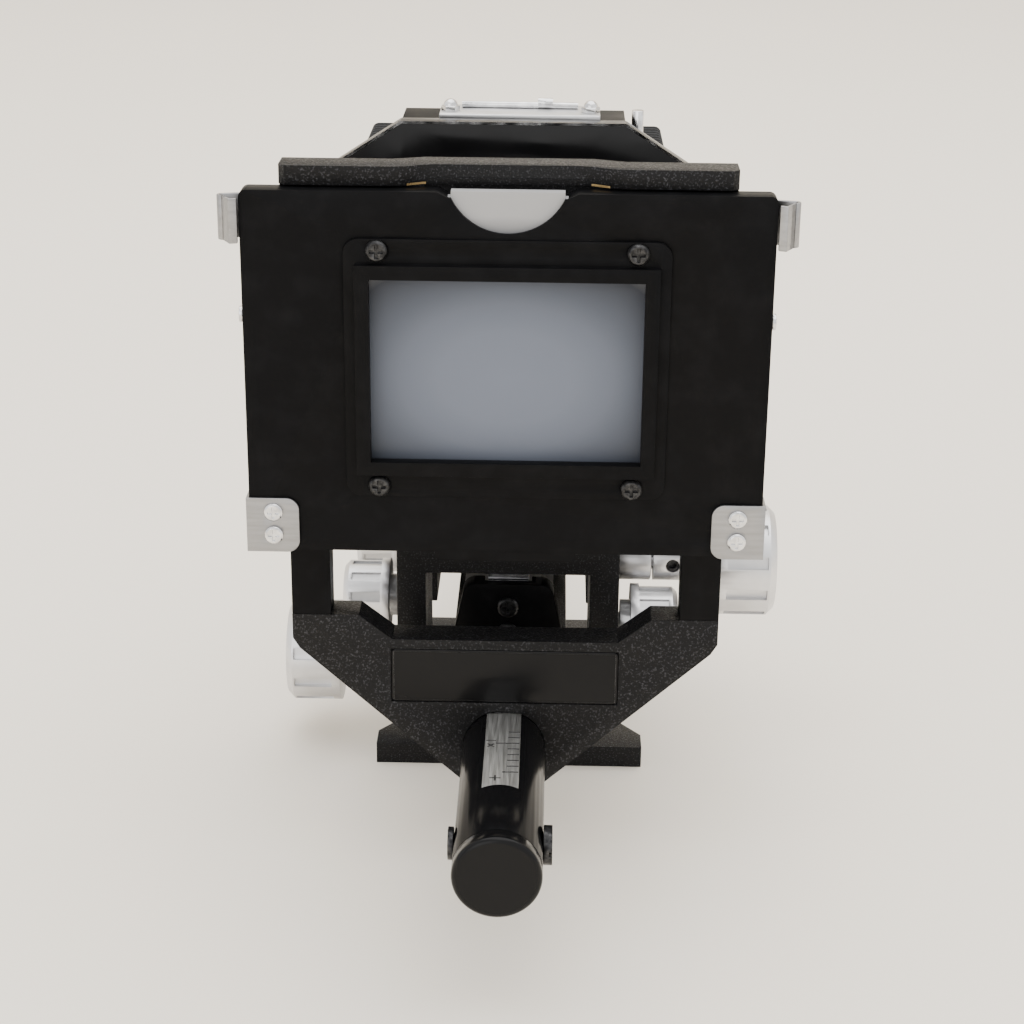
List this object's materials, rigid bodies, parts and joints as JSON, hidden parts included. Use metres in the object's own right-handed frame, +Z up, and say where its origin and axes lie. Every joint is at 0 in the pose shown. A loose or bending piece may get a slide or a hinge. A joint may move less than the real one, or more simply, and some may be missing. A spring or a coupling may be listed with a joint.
{
  "type": "slide duplicator",
  "caption": "Slide duplicator with an opal window, on a guide tube ahead of a bellows unit on a geared rail",
  "frame": {"origin": "the middle of the tripod bush, on the underside of the foot", "axes": "+X to the right as seen from the slide window, +Y from the window to the camera, +Z up"},
  "size_m": [0.0917, 0.2122, 0.1296],
  "materials": {
    "black": "satin",
    "crinkle": "crinkle",
    "gloss_black": "gloss",
    "satin": "satin",
    "bright": "polished",
    "plate": "brushed",
    "steel": "machined",
    "brass": "machined",
    "black_screw": "black oxide",
    "opal": "translucent opal",
    "bellows": "matte cloth"
  },
  "bodies": {
    "base": {"foot": "black", "base_block": "crinkle", "tripod_bush": "brass", "foot_screws": "bright"},
    "rail_assembly": {"rail": "satin", "rail_end_block": "black", "rail_end_screws": "black_screw", "rail_stop": "black", "guide_tube": "gloss_black", "tube_cap": "gloss_black", "tube_cross_screw": "black_screw", "scale_plate": "plate", "front_bellows_half": "bellows", "rear_bellows_half": "bellows"},
    "rail_drive": {"rail_pinion": "steel", "rail_drive_knob": "satin"},
    "carriage": {"carriage_casting": "crinkle", "name_plate": "gloss_black", "left_post": "black", "right_post": "black", "post_dowels": "bright"},
    "carriage_lock": {"carriage_lock_screw": "satin"},
    "stage": {"stage_frame": "crinkle", "hinge_pins": "bright", "slide_gate": "black", "hood_bellows": "bellows", "hood_ring": "satin"},
    "panel": {"front_panel": "black", "diffuser": "opal", "window_bezel": "black", "bezel_screws": "black_screw", "left_corner_clip": "satin", "right_corner_clip": "satin", "corner_screws": "bright", "left_spring_clip": "satin", "right_spring_clip": "satin", "side_screws": "bright"},
    "front_standard": {"front_saddle": "crinkle", "front_board": "gloss_black", "lens_mount_ring": "satin", "head_housing": "black", "linkage_plate": "satin", "acorn_screws": "bright", "linkage_rod": "bright", "front_sleeve": "satin"},
    "release": {"release_pin": "bright"},
    "front_drive": {"front_pinion": "steel", "front_drive_knob": "satin", "front_set_screw": "black_screw"},
    "front_lock_left": {"left_lock_knob": "satin"},
    "front_lock_right": {"right_lock_knob": "satin"},
    "rear_standard": {"rear_saddle": "crinkle", "rear_board": "gloss_black", "camera_mount_ring": "satin", "rear_sleeve": "satin"},
    "rear_drive": {"rear_pinion": "steel", "rear_drive_knob": "satin"},
    "rear_lock": {"rear_lock_knob": "satin"}
  },
  "joints": [
    {"name": "rail_travel", "type": "slide", "parent": "base", "child": "rail_assembly", "axis": [0, 1, 0], "range_m": [-0.03, 0.018]},
    {"name": "rail_knob_turn", "type": "hinge", "parent": "base", "child": "rail_drive", "pos_m": [0, -0.015, 0.017], "axis": [1, 0, 0], "range_deg": [-220, 365]},
    {"name": "carriage_travel", "type": "slide", "parent": "rail_assembly", "child": "carriage", "axis": [0, 1, 0], "range_m": [-0.028, 0.004]},
    {"name": "carriage_lock_turn", "type": "hinge", "parent": "carriage", "child": "carriage_lock", "pos_m": [0, -0.0617, 0.0122], "axis": [0, 0, 1], "range_deg": [0, 90]},
    {"name": "stage_height", "type": "slide", "parent": "carriage", "child": "stage", "axis": [0, 0, 1], "range_m": [-0.004, 0.004]},
    {"name": "panel_swing", "type": "hinge", "parent": "stage", "child": "panel", "pos_m": [0, -0.0758, 0.0662], "axis": [1, 0, 0], "range_deg": [0, 75]},
    {"name": "front_focus", "type": "slide", "parent": "rail_assembly", "child": "front_standard", "axis": [0, 1, 0], "range_m": [0, 0.003], "deforming": ["front_bellows_half"]},
    {"name": "release_press", "type": "slide", "parent": "front_standard", "child": "release", "axis": [0, 0, -1], "range_m": [0, 0.002], "stiffness_N_per_m": 400},
    {"name": "front_knob_turn", "type": "hinge", "parent": "front_standard", "child": "front_drive", "pos_m": [0, -0.043, 0.049], "axis": [1, 0, 0], "range_deg": [-38, 5]},
    {"name": "front_lock_left_turn", "type": "hinge", "parent": "front_standard", "child": "front_lock_left", "pos_m": [-0.025, -0.038, 0.0389], "axis": [1, 0, 0], "range_deg": [0, 90]},
    {"name": "front_lock_right_turn", "type": "hinge", "parent": "front_standard", "child": "front_lock_right", "pos_m": [0.025, -0.048, 0.0389], "axis": [1, 0, 0], "range_deg": [0, 90]},
    {"name": "rear_focus", "type": "slide", "parent": "rail_assembly", "child": "rear_standard", "axis": [0, 1, 0], "range_m": [-0.003, 0.03], "deforming": ["rear_bellows_half"]},
    {"name": "rear_knob_turn", "type": "hinge", "parent": "rear_standard", "child": "rear_drive", "pos_m": [0, 0.003, 0.049], "axis": [1, 0, 0], "range_deg": [-362, 40]},
    {"name": "rear_lock_turn", "type": "hinge", "parent": "rear_standard", "child": "rear_lock", "pos_m": [-0.025, -0.01, 0.0389], "axis": [1, 0, 0], "range_deg": [0, 90]}
  ],
  "couplings": [
    {"joint": "rail_knob_turn", "follows": "rail_travel", "rad_per_m": -208.33},
    {"joint": "front_knob_turn", "follows": "front_focus", "rad_per_m": -208.33},
    {"joint": "rear_knob_turn", "follows": "rear_focus", "rad_per_m": -208.33}
  ]
}
